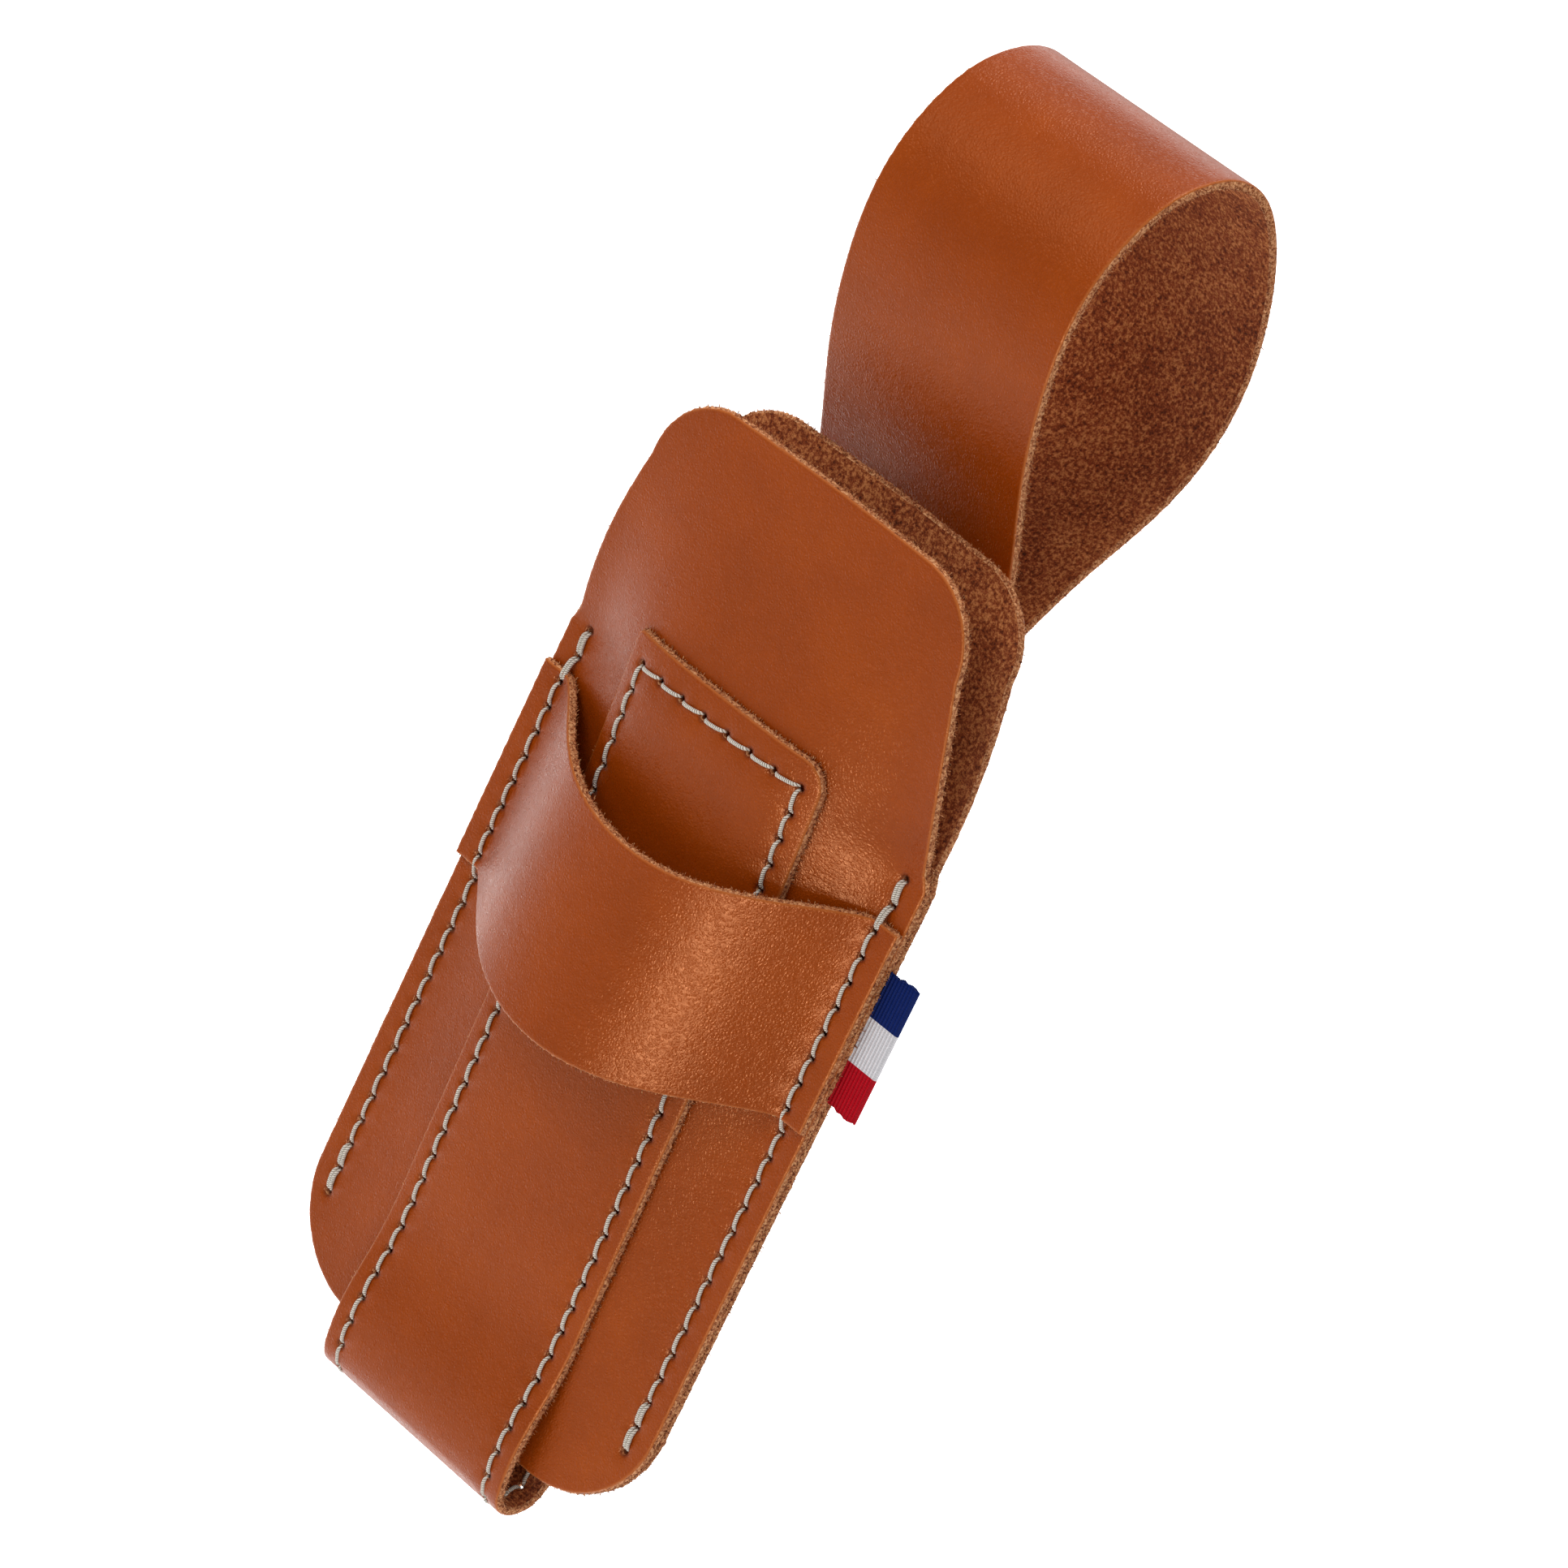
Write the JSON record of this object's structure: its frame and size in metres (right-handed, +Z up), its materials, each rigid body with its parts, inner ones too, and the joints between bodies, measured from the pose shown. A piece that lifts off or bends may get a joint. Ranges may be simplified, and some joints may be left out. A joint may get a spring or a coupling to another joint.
{
  "type": "leather belt sheath",
  "caption": "Open-topped stitched leather sheath with a tool loop on the front, a strap wrapped round its foot and up into a belt loop, and a ribbon tab in one seam.",
  "frame": {"origin": "top of the belt loop's inside, at mid-width, where the belt carries the sheath", "axes": "+Z up along the sheath towards the belt loop, +Y towards the wearer, +X to the side with the ribbon tab"},
  "size_m": [0.0957, 0.0749, 0.2653],
  "materials": {
    "leather": "smooth semi-gloss cognac grain with raw suede flesh side",
    "linen_thread": "twisted waxed cream linen thread",
    "ribbon": "ribbed grosgrain in three colour bands"
  },
  "bodies": {
    "sheath": {"front_panel": "leather", "back_panel": "leather", "centre_strap": "leather", "strap_end": "leather", "cross_strap": "leather", "ribbon_root": "ribbon", "left_seam_thread_outer": "linen_thread", "left_seam_thread_inner": "linen_thread", "right_seam_thread_outer": "linen_thread", "right_seam_thread_inner": "linen_thread", "strap_thread_outer": "linen_thread", "strap_thread_inner": "linen_thread"},
    "loop": {"belt_loop": "leather"},
    "ribbon": {"ribbon_tab": "ribbon"}
  },
  "joints": [
    {"name": "belt_loop_swing", "type": "hinge", "parent": "sheath", "child": "loop", "pos_m": [0, -0.01422, -0.11616], "axis": [-1, 0, 0], "range_deg": [0, 35], "stiffness_Nm_per_rad": 0.05},
    {"name": "ribbon_flap", "type": "hinge", "parent": "sheath", "child": "ribbon", "pos_m": [0.046, -0.02116, -0.15016], "axis": [0, 0, 1], "range_deg": [-45, 45], "stiffness_Nm_per_rad": 0.0005}
  ]
}
